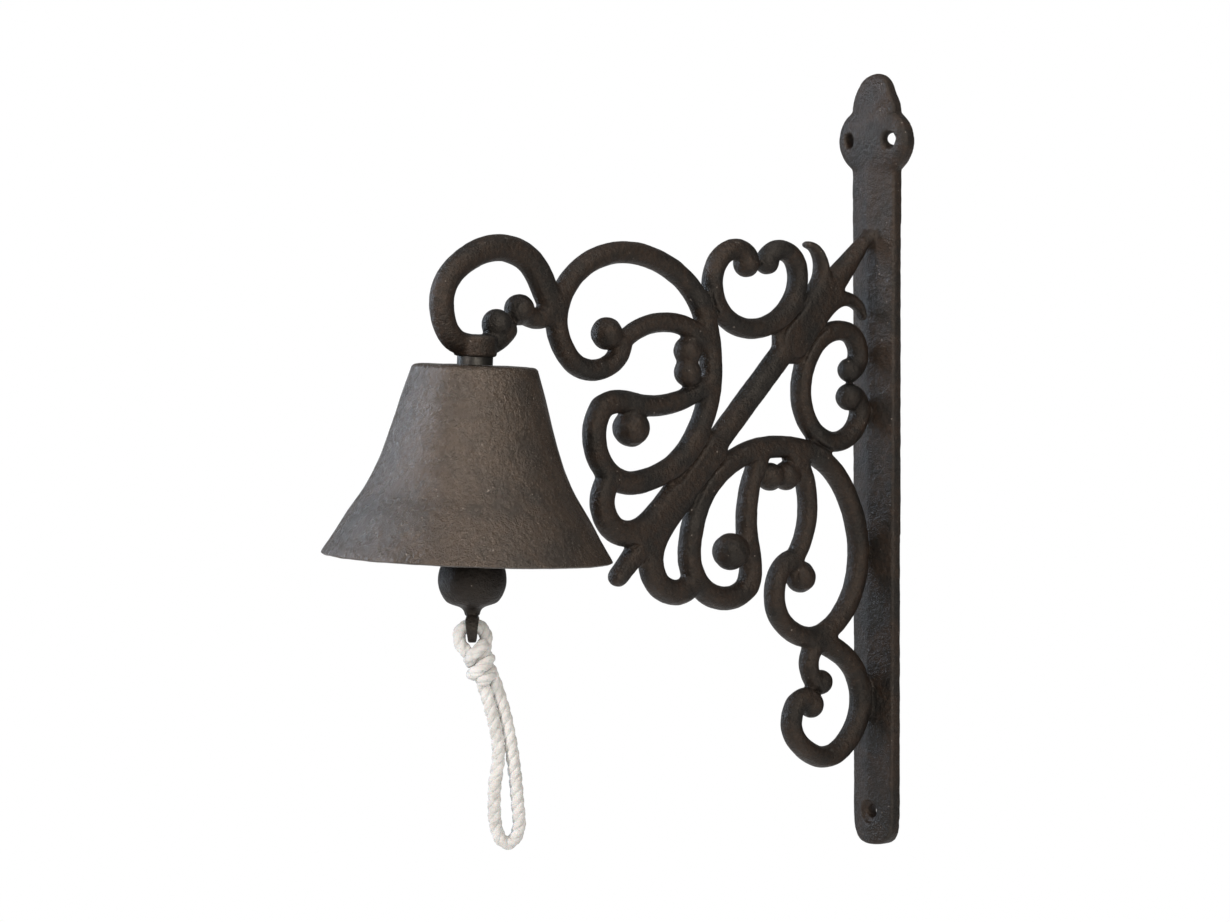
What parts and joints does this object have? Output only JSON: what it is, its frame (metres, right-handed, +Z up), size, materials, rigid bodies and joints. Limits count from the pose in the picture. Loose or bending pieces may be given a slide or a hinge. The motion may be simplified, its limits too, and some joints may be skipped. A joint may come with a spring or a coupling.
{
  "type": "wall mounted bell",
  "caption": "Cast-iron bell hung from a scrolled wall bracket, with a swinging clapper and a knotted cotton pull cord.",
  "frame": {"origin": "on the wall plane, midway between the two upper screw holes", "axes": "+Z up, the bracket stands out from the wall towards -Y, X across the wall bar"},
  "size_m": [0.1258, 0.3057, 0.3605],
  "materials": {
    "bracket_iron": "dark brown-black rough cast iron, semi-gloss",
    "bell_iron": "dark brown-black rough cast iron, semi-gloss",
    "clapper_iron": "dark brown-black rough cast iron, semi-gloss",
    "fastener_steel": "dull zinc-plated steel, darkened",
    "cotton_cord": "soft white twisted cotton",
    "pin_steel": "dark iron wire"
  },
  "bodies": {
    "bracket": {"wall_bar": "bracket_iron", "end_ring": "bracket_iron", "arm_scroll": "bracket_iron", "heart_scroll": "bracket_iron", "upper_hook_scroll": "bracket_iron", "leaf_cluster": "bracket_iron", "oval_scroll": "bracket_iron", "arch_scroll": "bracket_iron", "lower_hook_scroll": "bracket_iron", "tail_scroll": "bracket_iron", "diagonal_stem": "bracket_iron", "hanger_eyebolt": "fastener_steel", "spacer": "fastener_steel", "lower_washer": "fastener_steel", "lock_nut": "fastener_steel"},
    "bell": {"bell_shell": "bell_iron"},
    "link": {"link_ring": "fastener_steel"},
    "clapper": {"clapper": "clapper_iron"},
    "cord": {"cord_eye_loop": "cotton_cord", "cord_knot": "cotton_cord", "cord_pull_loop": "cotton_cord", "knot_pin": "pin_steel"}
  },
  "joints": [
    {"name": "bell_swivel", "type": "hinge", "parent": "bracket", "child": "bell", "pos_m": [0, -0.2385, -0.0947], "axis": [0, 0.0506, 0.9987], "continuous": true},
    {"name": "link_swing", "type": "hinge", "parent": "bracket", "child": "link", "pos_m": [0, -0.24008, -0.12596], "axis": [1, 0, 0], "range_deg": [-39, 33]},
    {"name": "clapper_swing", "type": "hinge", "parent": "link", "child": "clapper", "pos_m": [0, -0.24008, -0.13316], "axis": [0, 1, 0], "range_deg": [-10, 10]},
    {"name": "cord_swing", "type": "hinge", "parent": "clapper", "child": "cord", "pos_m": [0, -0.24008, -0.2118], "axis": [0.6293, 0.7771, 0], "range_deg": [-45, 45]}
  ]
}
